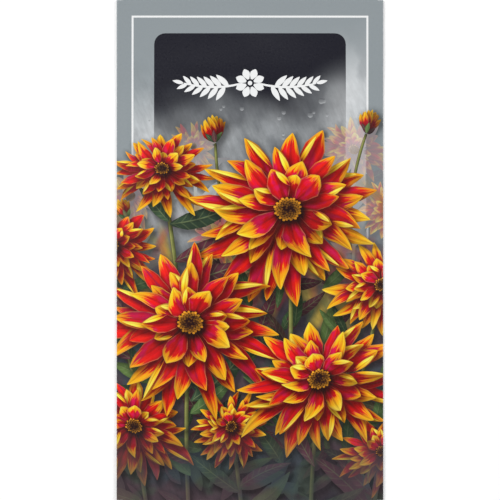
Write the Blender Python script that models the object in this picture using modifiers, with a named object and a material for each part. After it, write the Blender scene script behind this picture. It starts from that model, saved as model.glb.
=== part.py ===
"""A seed packet, lying on its back: one sheet of coated paper, folded and glued round its seeds.

The front panel runs on round the right-hand fold as a full back panel. At the left-hand fold a
narrow tab turns in, and the back panel is glued over it. Each end of the front panel has a flap
that is folded over the back and glued, the top one once the seeds are in.

Metres. +Z is up, out of the printed front, and +Y runs to the packet's top. The origin is on the
surface that the packet lies on, under the middle of its outline.
"""

import math
import random

import bmesh
import bpy
from mathutils import Euler, Matrix, Vector

# The packet's outline
WIDTH = 0.085
LENGTH = 0.160

# The sheet: gloss-coated paper, and the glue line between two layers that are stuck down
PAPER = 0.00014
GLUE_LINE = 0.00006
LAYER = PAPER + GLUE_LINE

# The blank's tab and flaps
TAB_WIDTH = 0.012
BACK_EDGE_INSET = 0.0012
BOTTOM_FLAP = 0.015
TOP_FLAP = 0.020
FLAP_ROOT_INSET = 0.002
FLAP_TAPER = 0.005

# Folds, measured to the middle of the sheet
SIDE_FOLD_RADIUS = 0.0002
END_FOLD_RADIUS = 0.0003
FOLD_STEPS = 6

# How far the filled packet stands open, and how soon it does so from each end
PUFF = 0.0029
PUFF_RUN = 0.5
FLAP_STEP_RUN = 0.010

# The seeds lie in a low heap near the bottom, where they slid while the packet stood
HEAP_CENTRE_Y = -0.052
HEAP_HALF_LENGTH = 0.021
HEAP_HALF_WIDTH = 0.010
HEAP_HEIGHT = 0.0015
HEAP_BULGE = 0.0006
SEED_WIDTH = 0.0012
SEED_THICKNESS = 0.0008
SEED_COUNT = 150
SEED_REACH = 0.95
SEED_RANDOM = 11
CLEARANCE = 0.0003

# Facets
FRONT_STEPS = 18
BACK_STEPS = 18
TAB_STEPS = 3
LENGTH_STEPS = 30
FLAP_STEPS = 3

HALF_WIDTH = WIDTH / 2
HALF_LENGTH = LENGTH / 2
# The outermost stations of the front panel: the sheet's outer face is tangent to the outline
FRONT_X = HALF_WIDTH - SIDE_FOLD_RADIUS - PAPER / 2
FRONT_Y = HALF_LENGTH - END_FOLD_RADIUS - PAPER / 2
FLAP_ROOT_X = HALF_WIDTH - FLAP_ROOT_INSET


def ease(share):
    """0 to 1, level at both ends."""
    share = min(max(share, 0.0), 1.0)
    return share * share * (3.0 - 2.0 * share)


def spaced(first, last, steps):
    return [first + (last - first) * step / steps for step in range(steps + 1)]


def back_height(y):
    """Middle of the back panel: down on the surface, and a layer up where a flap lies under it."""
    from_bottom = y + HALF_LENGTH - BOTTOM_FLAP
    from_top = HALF_LENGTH - TOP_FLAP - y
    nearest = min(from_bottom, from_top)
    return PAPER / 2 + LAYER * ease(1.0 - nearest / FLAP_STEP_RUN)


def tab_height(y):
    return back_height(y) + LAYER


def puff(x, y):
    """How far the front panel is lifted: a low dome, with a little more over the seeds."""
    across = 1.0 - (x / HALF_WIDTH) ** 2
    along = ease((1.0 - abs(y) / HALF_LENGTH) / PUFF_RUN)
    heap = math.exp(-((x / HEAP_HALF_LENGTH) ** 2) - ((y - HEAP_CENTRE_Y) / HEAP_HALF_WIDTH) ** 2)
    return PUFF * across * along + HEAP_BULGE * across * heap


def front_height(x, y):
    """Middle of the front panel, from the left fold over the tab to the right fold over the back."""
    left = tab_height(y) + 2 * SIDE_FOLD_RADIUS
    right = back_height(y) + 2 * SIDE_FOLD_RADIUS
    share = (x + FRONT_X) / (2 * FRONT_X)
    return left + (right - left) * share + puff(x, y)


def fold(centre, low, high, outward):
    """Points half way round a fold, without its ends. outward is the fold's own radius, signed."""
    turns = [math.pi * step / FOLD_STEPS for step in range(1, FOLD_STEPS)]
    middle = (low + high) / 2
    reach = (high - low) / 2
    return [(centre + outward * math.sin(turn), middle - reach * math.cos(turn)) for turn in turns]


def front_stations():
    """The front panel's places across, with one at each end of the flaps' roots."""
    return [-FRONT_X, *spaced(-FLAP_ROOT_X, FLAP_ROOT_X, FRONT_STEPS), FRONT_X]


def tube_section(y):
    """The sheet from the tab's free edge, over the front, to the back panel's free edge."""
    tab, back = tab_height(y), back_height(y)
    left, right = front_height(-FRONT_X, y), front_height(FRONT_X, y)
    section = [(x, tab) for x in spaced(TAB_WIDTH - HALF_WIDTH, -FRONT_X, TAB_STEPS)]
    section += fold(-FRONT_X, tab, left, -SIDE_FOLD_RADIUS)
    section += [(x, front_height(x, y)) for x in front_stations()]
    section += reversed(fold(FRONT_X, back, right, SIDE_FOLD_RADIUS))
    section += [(x, back) for x in spaced(FRONT_X, BACK_EDGE_INSET - HALF_WIDTH, BACK_STEPS)]
    return [Vector((x, y, z)) for x, z in section]


def flap_rows(end, length):
    """The rows of a flap beyond the front panel's edge. end is -1 for the bottom and 1 for the top."""
    stations = front_stations()[1:-1]
    edge = end * FRONT_Y
    turned = [fold(edge, PAPER / 2, front_height(x, edge), end * END_FOLD_RADIUS) for x in stations]
    rows = []
    for step in reversed(range(FOLD_STEPS - 1)):
        rows.append([Vector((x, arc[step][0], arc[step][1])) for x, arc in zip(stations, turned)])
    for share in spaced(0.0, 1.0, FLAP_STEPS):
        narrowing = 1.0 - share * FLAP_TAPER / FLAP_ROOT_X
        y = edge - end * share * (length - END_FOLD_RADIUS)
        rows.append([Vector((x * narrowing, y, PAPER / 2)) for x in stations])
    return rows


def join_rows(mesh, first, second):
    for step in range(len(first) - 1):
        mesh.faces.new((first[step], first[step + 1], second[step + 1], second[step]))


def packet_sheet():
    """The folded sheet's middle surface, as one open mesh."""
    mesh = bmesh.new()
    rows = [
        [mesh.verts.new(point) for point in tube_section(y)]
        for y in spaced(-FRONT_Y, FRONT_Y, LENGTH_STEPS)
    ]
    for first, second in zip(rows, rows[1:]):
        join_rows(mesh, first, second)
    root = TAB_STEPS + FOLD_STEPS + 1
    for end, length, row in ((-1, BOTTOM_FLAP, rows[0]), (1, TOP_FLAP, rows[-1])):
        edge = row[root : root + FRONT_STEPS + 1]
        for points in flap_rows(end, length):
            beyond = [mesh.verts.new(point) for point in points]
            inner, outer = (beyond, edge) if end < 0 else (edge, beyond)
            join_rows(mesh, inner, outer)
            edge = beyond
    return mesh


def plain_material(name, colour, roughness):
    material = bpy.data.materials.new(name)
    material.use_nodes = True
    shader = material.node_tree.nodes["Principled BSDF"]
    shader.inputs["Base Color"].default_value = (*colour, 1.0)
    shader.inputs["Roughness"].default_value = roughness
    material.diffuse_color = (*colour, 1.0)
    return material


def object_from(mesh, name, collection):
    data = bpy.data.meshes.new(name)
    mesh.to_mesh(data)
    mesh.free()
    made = bpy.data.objects.new(name, data)
    collection.objects.link(made)
    return made


def paper_packet(collection, parent):
    """The folded sheet, at the paper's thickness."""
    packet = object_from(packet_sheet(), "paper_packet", collection)
    packet.data.shade_smooth()
    packet.parent = parent
    packet.data.materials.append(plain_material("coated_paper", (0.28, 0.32, 0.34), 0.35))
    thickness = packet.modifiers.new("thickness", "SOLIDIFY")
    thickness.thickness = PAPER
    thickness.offset = 0.0
    return packet


def heap_core(collection):
    """A low mound, flat underneath, that the seeds stand out of."""
    mesh = bmesh.new()
    bmesh.ops.create_uvsphere(mesh, u_segments=20, v_segments=10, radius=1.0)
    floor = bmesh.ops.bisect_plane(
        mesh,
        geom=mesh.verts[:] + mesh.edges[:] + mesh.faces[:],
        plane_co=(0.0, 0.0, 0.0),
        plane_no=(0.0, 0.0, -1.0),
        clear_outer=True,
    )
    rim = [part for part in floor["geom_cut"] if isinstance(part, bmesh.types.BMEdge)]
    bmesh.ops.edgeloop_fill(mesh, edges=rim)
    bmesh.ops.scale(mesh, vec=(HEAP_HALF_LENGTH, HEAP_HALF_WIDTH, HEAP_HEIGHT), verts=mesh.verts)
    bmesh.ops.recalc_face_normals(mesh, faces=mesh.faces)
    return object_from(mesh, "seed_heap", collection)


def seed_mesh():
    """One seed: a round, flattened grain."""
    mesh = bmesh.new()
    bmesh.ops.create_icosphere(mesh, subdivisions=1, radius=0.5)
    bmesh.ops.scale(mesh, vec=(SEED_WIDTH, SEED_WIDTH, SEED_THICKNESS), verts=mesh.verts)
    data = bpy.data.meshes.new("seed")
    mesh.to_mesh(data)
    mesh.free()
    return data


def seed_places():
    """Even places over the mound, from its top to its rim, each with a turn and a lean."""
    draw = random.Random(SEED_RANDOM)
    golden_turn = math.pi * (3.0 - math.sqrt(5.0))
    for number in range(SEED_COUNT):
        out = SEED_REACH * math.sqrt((number + 0.5) / SEED_COUNT)
        turn = golden_turn * number
        x = HEAP_HALF_LENGTH * out * math.cos(turn)
        y = HEAP_HALF_WIDTH * out * math.sin(turn)
        surface = HEAP_HEIGHT * math.sqrt(1.0 - out * out)
        z = max(surface, SEED_THICKNESS / 2)
        lean = Euler((draw.uniform(-0.4, 0.4), draw.uniform(-0.4, 0.4), draw.uniform(0.0, math.pi)))
        yield Matrix.Translation((x, y, z)) @ lean.to_matrix().to_4x4()


def seed_heap(collection, parent):
    """The mound and its seeds, joined in one body."""
    grains = bpy.data.collections.new("grains")
    bpy.context.scene.collection.children.link(grains)
    grain = seed_mesh()
    for place in seed_places():
        seed = bpy.data.objects.new("grain", grain)
        seed.matrix_world = place
        grains.objects.link(seed)
    heap = heap_core(collection)
    union = heap.modifiers.new("grains", "BOOLEAN")
    union.operand_type = "COLLECTION"
    union.operation = "UNION"
    union.solver = "MANIFOLD"
    union.collection = grains
    graph = bpy.context.evaluated_depsgraph_get()
    joined = bpy.data.meshes.new_from_object(heap.evaluated_get(graph))
    heap.modifiers.clear()
    heap.data = joined
    for seed in list(grains.objects):
        bpy.data.objects.remove(seed)
    bpy.data.collections.remove(grains)
    heap.data.materials.clear()
    heap.data.materials.append(plain_material("seed_coat", (0.012, 0.009, 0.008), 0.25))
    heap.parent = parent
    heap.location = (0.0, HEAP_CENTRE_Y, PAPER + CLEARANCE)
    return heap


def main():
    for leftover in list(bpy.data.objects):
        bpy.data.objects.remove(leftover)
    collection = bpy.data.collections.new("seed_packet")
    bpy.context.scene.collection.children.link(collection)
    resting_point = bpy.data.objects.new("resting_point", None)
    collection.objects.link(resting_point)
    paper_packet(collection, resting_point)
    seed_heap(collection, resting_point)


main()
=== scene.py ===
import math
import random
from collections import namedtuple
from functools import partial

import bmesh
import bpy
import numpy as np
from mathutils import Euler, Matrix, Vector
from mathutils.geometry import delaunay_2d_cdt
from mathutils.kdtree import KDTree


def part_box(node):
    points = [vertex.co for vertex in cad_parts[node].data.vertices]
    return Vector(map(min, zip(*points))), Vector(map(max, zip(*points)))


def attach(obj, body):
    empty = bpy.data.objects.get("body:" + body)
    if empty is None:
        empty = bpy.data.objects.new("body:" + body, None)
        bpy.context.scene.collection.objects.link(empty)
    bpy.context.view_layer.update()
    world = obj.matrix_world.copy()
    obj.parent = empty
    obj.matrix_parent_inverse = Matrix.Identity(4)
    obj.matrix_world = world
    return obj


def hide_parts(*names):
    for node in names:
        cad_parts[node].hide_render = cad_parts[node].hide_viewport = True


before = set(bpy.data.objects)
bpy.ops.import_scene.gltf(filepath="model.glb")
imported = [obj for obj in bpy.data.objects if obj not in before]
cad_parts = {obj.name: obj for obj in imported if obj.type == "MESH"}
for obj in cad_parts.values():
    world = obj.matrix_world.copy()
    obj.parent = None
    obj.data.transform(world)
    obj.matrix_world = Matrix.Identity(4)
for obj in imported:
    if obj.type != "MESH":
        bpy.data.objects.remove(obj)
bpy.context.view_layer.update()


# The blank
# A seed packet is one sheet of gloss-coated paper. It is cut flat, with a glue tab at its left, a
# back panel at its right and a flap at each end, then folded round and glued.
# Lengths are in millimetres. A place on the flat blank is u, v, which on the front panel are x, y.
MM = 0.001
packet_low, packet_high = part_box("paper_packet")
HALF_WIDTH = (packet_high[0] - packet_low[0]) / MM / 2
HALF_LENGTH = (packet_high[1] - packet_low[1]) / MM / 2
PAPER = 0.14
GLUE_LINE = 0.06
LAYER = PAPER + GLUE_LINE
TAB_WIDTH = 12.0
BACK_EDGE_INSET = 1.2
BOTTOM_FLAP = 15.0
TOP_FLAP = 20.0
FLAP_ROOT_INSET = 2.0
FLAP_TAPER = 5.0
SIDE_FOLD_RADIUS = 0.2
END_FOLD_RADIUS = 0.3
FRONT_X = HALF_WIDTH - SIDE_FOLD_RADIUS - PAPER / 2
FRONT_Y = HALF_LENGTH - END_FOLD_RADIUS - PAPER / 2
FLAP_ROOT_X = HALF_WIDTH - FLAP_ROOT_INSET
FLAP_END_X = FLAP_ROOT_X - FLAP_TAPER
SIDE_ARC = math.pi * SIDE_FOLD_RADIUS
END_ARC = math.pi * END_FOLD_RADIUS
TAB_EDGE = HALF_WIDTH - TAB_WIDTH - 2 * FRONT_X - SIDE_ARC
BACK_START = FRONT_X + SIDE_ARC
BACK_EDGE = BACK_START + FRONT_X + HALF_WIDTH - BACK_EDGE_INSET
BOTTOM_EDGE = -FRONT_Y - END_ARC - BOTTOM_FLAP + END_FOLD_RADIUS
TOP_EDGE = FRONT_Y + END_ARC + TOP_FLAP - END_FOLD_RADIUS
blank = [
    (TAB_EDGE, -FRONT_Y), (-FLAP_ROOT_X, -FRONT_Y), (-FLAP_ROOT_X, -FRONT_Y - END_ARC),
    (-FLAP_END_X, BOTTOM_EDGE), (FLAP_END_X, BOTTOM_EDGE),
    (FLAP_ROOT_X, -FRONT_Y - END_ARC), (FLAP_ROOT_X, -FRONT_Y), (BACK_EDGE, -FRONT_Y),
    (BACK_EDGE, FRONT_Y), (FLAP_ROOT_X, FRONT_Y), (FLAP_ROOT_X, FRONT_Y + END_ARC),
    (FLAP_END_X, TOP_EDGE), (-FLAP_END_X, TOP_EDGE),
    (-FLAP_ROOT_X, FRONT_Y + END_ARC), (-FLAP_ROOT_X, FRONT_Y), (TAB_EDGE, FRONT_Y),
]

# The filled packet stands open over its middle, a little more over the seeds. From each end, its
# depth and the slack in its paper grow over a share of its half length.
PUFF = 2.9
PUFF_SHARE = 0.5
SLACK = 0.16
SLACK_SHARE = 0.2
FLAP_STEP_RUN = 10.0
HEAP_CENTRE_Y = -52.0
HEAP_HALF_LENGTH = 21.0
HEAP_HALF_WIDTH = 10.0
HEAP_BULGE = 0.6
SEED_LUMP = 0.05


def ease(share):
    """0 to 1, level at both ends."""
    share = np.clip(share, 0.0, 1.0)
    return share * share * (3.0 - 2.0 * share)


def back_height(y):
    """Middle of the back panel: down on the surface, and a layer up where a flap lies under it."""
    from_bottom = y + HALF_LENGTH - BOTTOM_FLAP
    from_top = HALF_LENGTH - TOP_FLAP - y
    return PAPER / 2 + LAYER * ease(1.0 - np.minimum(from_bottom, from_top) / FLAP_STEP_RUN)


def over_heap(x, y):
    """1 over the middle of the seeds, and less and less round it."""
    return np.exp(-((x / HEAP_HALF_LENGTH) ** 2) - ((y - HEAP_CENTRE_Y) / HEAP_HALF_WIDTH) ** 2)


def buckles(x, y):
    """Shallow waves of 25 to 80 mm in the slack paper, and small lumps where seeds press on it."""
    cross = np.sin(0.17 * y + 0.05 * x + 0.6) * np.sin(0.11 * x - 0.03 * y)
    lean = np.sin(0.21 * x + 0.13 * y + 1.7) * np.sin(0.06 * y - 0.05 * x + 0.4)
    lumps = np.sin(1.3 * x + np.sin(0.9 * y)) * np.sin(1.5 * y + np.sin(1.1 * x))
    return ease((1.0 - np.abs(y) / HALF_LENGTH) / SLACK_SHARE) * (
        SLACK * (cross + 0.7 * lean) + SEED_LUMP * lumps * over_heap(x, y))


def front_height(x, y):
    """Middle of the front panel, from the left fold over the tab to the right fold over the back."""
    across = 1.0 - (x / HALF_WIDTH) ** 2
    along = ease((1.0 - np.abs(y) / HALF_LENGTH) / PUFF_SHARE)
    tab_layer = LAYER * (FRONT_X - x) / (2 * FRONT_X)
    edges = back_height(y) + tab_layer + 2 * SIDE_FOLD_RADIUS
    return edges + across * (PUFF * along + HEAP_BULGE * over_heap(x, y) + buckles(x, y))


def folded(u, v):
    """Where the middle of the sheet at u, v on the blank lies in the glued packet."""
    x, y = np.clip(u, -FRONT_X, FRONT_X), np.clip(v, -FRONT_Y, FRONT_Y)
    z = front_height(x, y)
    back = back_height(y)
    for side, under in ((-1, back + LAYER), (1, back)):
        past = np.maximum(side * u - FRONT_X, 0.0)
        turn = math.pi * np.minimum(past / SIDE_ARC, 1.0)
        x = x + side * (SIDE_FOLD_RADIUS * np.sin(turn) - np.maximum(past - SIDE_ARC, 0.0))
        z = z + (under - z) * (1.0 - np.cos(turn)) / 2
    past = np.maximum(np.abs(v) - FRONT_Y, 0.0)
    turn = math.pi * np.minimum(past / END_ARC, 1.0)
    y = y + np.sign(v) * (END_FOLD_RADIUS * np.sin(turn) - np.maximum(past - END_ARC, 0.0))
    z = z + (PAPER / 2 - z) * (1.0 - np.cos(turn)) / 2
    return np.stack((x, y, z), axis=-1)


# The margin and its rule
# The sheet is printed on its outer side only, in four-colour offset: a grey margin all over, and on
# it a thin white rule round the picture.

# What is printed is a list of shapes, the lowest first. A shape's blade is what its streaks follow,
# light how bright it is, own which of its kind it is, flame how far along it turns yellow, casts how
# dark its shadow is, and haze how far it gives way to what is behind it.
Shape = namedtuple("Shape", "ink outline colour blade light own flame casts haze",
                   defaults=(None, None, 1.0, 0.5, 1.0, 0.0, 0.0))
printed = []


def print_shape(ink, outline, colour=None, **details):
    """Prints a shape on top of the others."""
    printed.append(Shape(ink, outline, colour, **details))


def linear(sheet_colour):
    """An sRGB hex colour as linear light."""
    parts = [int(sheet_colour[place : place + 2], 16) / 255 for place in (1, 3, 5)]
    return np.array([p / 12.92 if p <= 0.04045 else ((p + 0.055) / 1.055) ** 2.4 for p in parts])


def mix(first, second, share):
    """A colour that gives way to a second one by a share."""
    share = np.clip(share, 0.0, 1.0)[..., None]
    return first * (1.0 - share) + second * share


def tone_at(colour, x, y):
    """A colour at some places: it is one colour all over, or a function of x and y."""
    return colour(x, y) if callable(colour) else np.broadcast_to(colour, np.shape(x) + (3,))


def beyond(root, heading, length):
    """The place at a length from a root, in a direction."""
    return root[0] + length * math.cos(heading), root[1] + length * math.sin(heading)


def rectangle(left, bottom, right, top, corner=0.0, steps=6):
    """A rectangle, with round corners where a corner radius is given."""
    if not corner:
        return [(left, bottom), (right, bottom), (right, top), (left, top)]
    in_left, in_right, in_bottom, in_top = left + corner, right - corner, bottom + corner, top - corner
    centres = ((in_right, in_top), (in_left, in_top), (in_left, in_bottom), (in_right, in_bottom))
    return [beyond(centre, math.pi / 2 * (number + step / steps), corner)
            for number, centre in enumerate(centres) for step in range(steps + 1)]


OCTAVES = 5
OCTAVE_STEP = 1.7
OCTAVE_FALL = 1.5
CLOUD_BEND = 1.6
CLOUD_SPREAD = 4.4


def clouds(x, y, size, seed):
    """Soft rolling noise of about 0 to 1, from sine waves that bend each other. The longest wave is
    of this size in mm, and each next one is shorter and weaker."""
    draw = random.Random(seed)
    total = 0.0
    pitch = math.tau / size
    for octave in range(OCTAVES):
        turn, start = draw.uniform(0, math.tau), draw.uniform(0, math.tau)
        along = x * math.cos(turn) + y * math.sin(turn)
        aside = x * math.sin(turn) - y * math.cos(turn)
        bend = CLOUD_BEND * np.sin(0.6 * pitch * aside + octave)
        total = total + np.sin(pitch * along + bend + start) / OCTAVE_FALL**octave
        pitch *= OCTAVE_STEP
    return 0.5 + total / CLOUD_SPREAD


# Low on the sheet any colour gives way to dark ground, and to planting that is out of focus
GROUND_DARK = linear("#34323b")
GROUND_PLUM = linear("#5e4b52")
GROUND_MOSS = linear("#4a574b")
GROUND_SLATE = linear("#46535b")
FAR_TONES = ("#a33a44", "#b5525a", "#a8973f", "#c4a544", "#66704a", "#c07a38")
FAR_HUES = [linear(tone) for tone in FAR_TONES]
GROUND_TOP = 4.0
GROUND_RAGGED = 10.0
GROUND_FADE = 26.0
PATCH_LEVEL = 0.55
PATCH_EDGE = 4.0
PATCH_COVER = 0.7
FAR_LEAVES = 90
far = random.Random(21)
far_leaves = [
    (far.uniform(-46, 46), far.uniform(-30, 8), far.uniform(9, 24), far.gauss(0, 0.5),
     far.uniform(1.0, 2.2), far.choice(FAR_HUES), far.uniform(0.35, 0.7))
    for number in range(FAR_LEAVES)
]


def planted(base):
    """A base colour with the ground and the far planting over it, as a function of x and y."""
    def colour(x, y):
        ground = mix(GROUND_DARK, GROUND_PLUM, clouds(x, y, size=52, seed=5))
        for patch, size, seed in ((GROUND_MOSS, 31, 15), (GROUND_SLATE, 39, 27)):
            there = ease((clouds(x, y, size, seed) - PATCH_LEVEL) * PATCH_EDGE)
            ground = mix(ground, patch, there * PATCH_COVER)
        top = GROUND_TOP + GROUND_RAGGED * (clouds(x, y, size=70, seed=31) - 0.5)
        tone = mix(tone_at(base, x, y), ground, ease((top - y) / GROUND_FADE + 0.5))
        for left, foot, height, lean, width, hue, strength in far_leaves:
            up = (y - foot) / height
            off = (x - left - lean * height * np.clip(up, 0, 1) ** 2) / width
            shown = ease(1.4 - np.abs(off)) * ease(up * 3) * ease((1 - up) * 2.5)
            tone = mix(tone, hue, shown * strength)
        return tone
    return colour


MARGIN_GREY = linear("#929a9e")
RULE_WHITE = linear("#f4f5f5")
RULE_INSET = 4.8
RULE_TOP = 5.35
RULE_WIDTH = 0.62
rule_x, rule_top = HALF_WIDTH - RULE_INSET, HALF_LENGTH - RULE_TOP
print_shape("flat", blank, planted(MARGIN_GREY))
print_shape("flat", rectangle(-rule_x, BOTTOM_EDGE, rule_x, rule_top), planted(RULE_WHITE))


# The picture field and the header
# Inside the rule the margin's grey thins into mist. On it stands a dark panel with round upper
# corners, which melts away above the flowers, and fine drops of water lie on both.
MIST_LIGHT = linear("#dadddf")
MIST_MIDDLE = linear("#a3a8ab")
MIST_DARK = linear("#70747a")
SLATE = linear("#171723")
PANEL_HALF_WIDTH = 30.5
PANEL_TOP = 69.0
PANEL_FOOT = 16.0
PANEL_CORNER = 3.5
PANEL_EDGE = 46.0
PANEL_RAGGED = 16.0
PANEL_THINS = 18.0
PANEL_VEIL = 0.36
VEIL_FADE = 16.0
MIST_FOOT = 38.0
MIST_TOP = 66.0
MIST_LEAN = 0.25
WATER_DROPS = 34
DROP_RADII = (0.35, 0.5, 0.7, 0.9)
DROP_CLEARANCE = 1.2
field_x, field_top = rule_x - RULE_WIDTH, rule_top - RULE_WIDTH


def mist(x, y):
    """Pale mist with darker streaks that lean. It rises to the right, into the margin's even grey."""
    tone = mix(MIST_MIDDLE, MIST_LIGHT, 1.2 * clouds(x, 0.45 * y, size=90, seed=3))
    dim = ease((0.45 - clouds(x, y, size=180, seed=8)) * 2.5)
    streak = clouds(x + 0.5 * y, 0.3 * y - x, size=28.5, seed=44)
    dark = 0.6 * dim + 0.4 * ease((streak - PATCH_LEVEL) * PATCH_EDGE)
    risen = ease((y - MIST_LEAN * x - MIST_FOOT) / (MIST_TOP - MIST_FOOT))
    return mix(mix(tone, MIST_DARK, dark), MARGIN_GREY, risen)


def header(x, y):
    """The dark panel, which thins to a veil at a ragged edge and is gone at its foot."""
    edge = PANEL_EDGE + PANEL_RAGGED * (clouds(x, y, size=105, seed=12) - 0.5) + MIST_LEAN * x
    dark = PANEL_VEIL + (1 - PANEL_VEIL) * ease((y - edge) / PANEL_THINS + 0.5)
    return mix(mist(x, y), SLATE, dark * ease((y - PANEL_FOOT) / VEIL_FADE))


def backdrop(x, y):
    """What is printed behind the plants, without the rule."""
    inside_rule = np.where((np.abs(x) < field_x)[..., None], mist(x, y), MARGIN_GREY)
    return np.where((np.abs(x) < PANEL_HALF_WIDTH)[..., None], header(x, y), inside_rule)


def circle(x, y, radius, steps=12):
    """A circle, or a polygon of so many sides."""
    return [beyond((x, y), math.tau * step / steps, radius) for step in range(steps)]


def water_drop(x, y, radius):
    """A drop is lighter than what is behind it, most at its foot, and has a dark upper edge."""
    def colour(across, up):
        side = (up - y) / radius
        tone = mix(backdrop(across, up), MIST_LIGHT, 0.1 + 0.35 * ease(-side))
        return mix(tone, SLATE, 0.6 * ease(2.2 * side - 1.0))
    for share in (1.0, 0.7):
        print_shape("flat", circle(x, y, share * radius, 16), colour)


print_shape("picture", rectangle(-field_x, BOTTOM_EDGE, field_x, field_top), planted(mist))
panel = rectangle(-PANEL_HALF_WIDTH, PANEL_FOOT, PANEL_HALF_WIDTH, PANEL_TOP, PANEL_CORNER)
print_shape("picture", panel, planted(header))
for number in range(WATER_DROPS):
    x, y = far.uniform(-35, 35), far.uniform(14, 48)
    if abs(abs(x) - PANEL_HALF_WIDTH) > DROP_CLEARANCE:
        water_drop(x, y, far.choice(DROP_RADII))


# The ornament
# A white sprig stands on the dark panel, two leafy stems that spring from a small flower. Every leaf
# and petal here is a blade: it runs from root to tip round a bent midrib.

# bend and curl are how far the midrib leaves the straight, evenly and at the tip. widest and
# fullness shape its two sides, which meet in a point, and ripple is how much they wave.
Blade = namedtuple("Blade", "root angle length width bend curl widest fullness ripple")
RIPPLES = 23
RIPPLE_SHIFT = 40
THINNEST = 1e-4


def midrib(blade, along):
    """How far aside the midrib lies, so far along a blade."""
    return blade.length * (blade.bend * along**2 + blade.curl * along**4)


def half_width(blade, along):
    """From the midrib to a side, so far along a blade."""
    swell = np.sin(np.pi * np.clip(along, 0.0, 1.0) ** blade.widest) ** blade.fullness
    wave = 1 + blade.ripple * np.sin(RIPPLES * along + RIPPLE_SHIFT * blade.bend)
    return blade.width / 2 * swell * wave + THINNEST


def on_print(blade, along, across=0.0):
    """The place that lies so far along and across a blade."""
    forward = blade.length * along
    aside = midrib(blade, along) + across * half_width(blade, along)
    cos, sin = math.cos(blade.angle), math.sin(blade.angle)
    right, up = forward * cos - aside * sin, forward * sin + aside * cos
    return float(blade.root[0] + right), float(blade.root[1] + up)


def on_blade(blade, x, y):
    """How far along a blade and across it places lie, from 0 to 1 and from -1 to 1."""
    cos, sin = math.cos(blade.angle), math.sin(blade.angle)
    right, up = x - blade.root[0], y - blade.root[1]
    along = np.clip((right * cos + up * sin) / blade.length, 0.0, 1.0)
    aside = up * cos - right * sin - midrib(blade, along)
    return along, np.clip(aside / half_width(blade, along), -1.0, 1.0)


def blade_outline(blade, steps=10):
    """Up one side and down the other, with the points closest together at the tip."""
    rise = [(1 - math.cos(math.pi * (step / steps) ** 0.8)) / 2 for step in range(steps + 1)]
    there = [on_print(blade, along, -1.0) for along in rise[1:]]
    return there + [on_print(blade, along, 1.0) for along in reversed(rise[:-1])]


def make_blade(root, tip, width, bend=0.0, curl=0.0, widest=1.0, fullness=0.9, ripple=0.0):
    """A blade whose tip ends where asked, whatever its bend."""
    off = bend + curl
    run, rise = tip[0] - root[0], tip[1] - root[1]
    length = math.hypot(run, rise) / math.hypot(1.0, off)
    angle = math.atan2(rise, run) - math.atan2(off, 1.0)
    return Blade(root, angle, length, width, bend, curl, widest, fullness, ripple)


def sprig(x, y, reach, tone, hollow, leaves=13, petals=8):
    """Two leafy stems of a tone, and between them a flower with a ring in it of the hollow tone."""
    for side in (-1, 1):
        start, end = (x + side * 0.1 * reach, y), (x + side * 0.88 * reach, y)
        twig = make_blade(start, end, 0.03 * reach, side * 0.3, fullness=0.15)
        print_shape("flat", blade_outline(twig), tone)
        for number in range(leaves):
            share = 0.25 + 0.75 * number / (leaves - 1)
            before, root = on_print(twig, share - 0.05), on_print(twig, share)
            heading = math.atan2(root[1] - before[1], root[0] - before[0])
            if number < leaves - 1:
                heading += (1.0 - 0.4 * share) * (1 if number % 2 else -1)
            length = reach * (0.25 - 0.1 * share)
            tip = beyond(root, heading, length)
            leaflet = make_blade(root, tip, 0.34 * length, widest=0.85, fullness=0.8)
            print_shape("flat", blade_outline(leaflet), tone)
    for number in range(petals):
        heading = math.tau * (number + 0.5) / petals
        root, tip = (beyond((x, y), heading, share * reach) for share in (0.03, 0.2))
        print_shape("flat", blade_outline(make_blade(root, tip, 0.1 * reach, widest=1.4)), tone)
    print_shape("flat", circle(x, y, 0.055 * reach, 16), hollow)
    print_shape("flat", circle(x, y, 0.03 * reach), tone)


SPRIG_Y = 53.0
SPRIG_REACH = 24.0
sprig(0.0, SPRIG_Y, SPRIG_REACH, RULE_WHITE, SLATE)


# Leaves and stems
# In the picture a leaf or stem is one blade of green or olive ink, printed as if lit from the upper
# left. One in haze gives way to the mist behind it.
SUN = Vector((-0.55, 0.83))
art = random.Random(5)


def towards_sun(root, tip):
    """1 for a blade that points to the sun, and -1 for one that points away."""
    return SUN.dot(Vector((tip[0] - root[0], tip[1] - root[1])).normalized())


def print_blade(ink, blade, light, flame=1.0, casts=0.7, haze=0.0, own=None):
    """Prints a blade. Haze takes its shadow away too."""
    own = art.random() if own is None else own
    outline = blade_outline(blade, 8 + int(blade.length / 5))
    print_shape(ink, outline, blade=blade, light=light, own=own, flame=flame,
                casts=casts * (1 - haze), haze=haze)


def leaf(root, heading, length, slimness, light=1.0, casts=0.7, haze=0.0):
    """A leaf, bent a little either way, and brighter where it points to the sun."""
    tip = beyond(root, heading, length)
    bend, curl, widest = art.uniform(-0.22, 0.22), art.uniform(-0.1, 0.1), art.uniform(0.75, 0.95)
    blade = make_blade(root, tip, length * slimness, bend, curl, widest, fullness=0.85, ripple=0.05)
    print_blade("leaf", blade, light * (0.85 + 0.2 * towards_sun(root, tip)), casts=casts, haze=haze)


def stem(root, tip, width, haze=0.0):
    """A stem, a blade that is almost as wide at its ends as at its middle."""
    blade = make_blade(root, tip, width, bend=art.uniform(-0.1, 0.1), fullness=0.08)
    print_blade("stem", blade, light=0.9, casts=0.6, haze=haze)


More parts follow.
